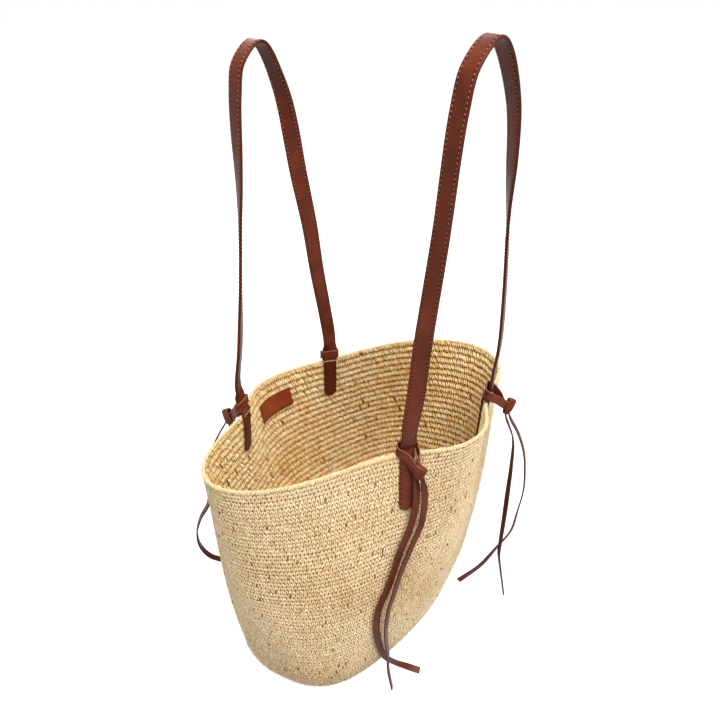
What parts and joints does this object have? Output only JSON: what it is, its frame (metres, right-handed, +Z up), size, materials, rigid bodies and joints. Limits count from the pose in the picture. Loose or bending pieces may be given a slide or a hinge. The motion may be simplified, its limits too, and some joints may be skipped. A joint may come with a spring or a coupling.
{
  "type": "raffia basket bag",
  "caption": "Soft crocheted raffia tote basket with an open mouth, and two long leather handles bound to the rim with knotted leather ties.",
  "frame": {"origin": "on the floor, under the middle of the basket's flat sole", "axes": "+Z up; +X along the lines on which the handles fold, toward their right ends; -Y is the front, the side with the front handle"},
  "size_m": [0.3662, 0.2804, 0.6405],
  "materials": {
    "raffia": "matte crocheted raffia, pale straw outside and warmer tan inside",
    "raffia_edge": "matte cream raffia chain stitch",
    "strap_leather": "smooth chestnut leather, satin, stitched along both edges",
    "tie_leather": "smooth chestnut leather lace, satin",
    "label_leather": "plain reddish leather, matte"
  },
  "bodies": {
    "basket": {"basket_shell": "raffia", "rim_edging": "raffia_edge", "label_patch": "label_leather", "front_left_outer_tab": "strap_leather", "front_left_inner_tab": "strap_leather", "front_left_tie_loop": "tie_leather", "front_left_tie_knot": "tie_leather", "front_left_tail_1": "tie_leather", "front_left_tail_2": "tie_leather", "front_right_outer_tab": "strap_leather", "front_right_inner_tab": "strap_leather", "front_right_tie_loop": "tie_leather", "front_right_tie_knot": "tie_leather", "front_right_tail_1": "tie_leather", "front_right_tail_2": "tie_leather", "back_right_outer_tab": "strap_leather", "back_right_inner_tab": "strap_leather", "back_right_tie_loop": "tie_leather", "back_right_tie_knot": "tie_leather", "back_right_tail_1": "tie_leather", "back_right_tail_2": "tie_leather", "back_left_outer_tab": "strap_leather", "back_left_inner_tab": "strap_leather", "back_left_tie_loop": "tie_leather", "back_left_tie_knot": "tie_leather", "back_left_tail_1": "tie_leather", "back_left_tail_2": "tie_leather"},
    "front_handle": {"front_handle_inner_ply": "strap_leather", "front_handle_outer_ply": "strap_leather"},
    "back_handle": {"back_handle_inner_ply": "strap_leather", "back_handle_outer_ply": "strap_leather"}
  },
  "joints": [
    {"name": "front_handle_swing", "type": "hinge", "parent": "basket", "child": "front_handle", "pos_m": [0.0304, -0.08758, 0.305], "axis": [1, 0, 0], "range_deg": [-16, 102]},
    {"name": "back_handle_swing", "type": "hinge", "parent": "basket", "child": "back_handle", "pos_m": [-0.033, 0.08596, 0.305], "axis": [1, 0, 0], "range_deg": [-102, 16]}
  ]
}
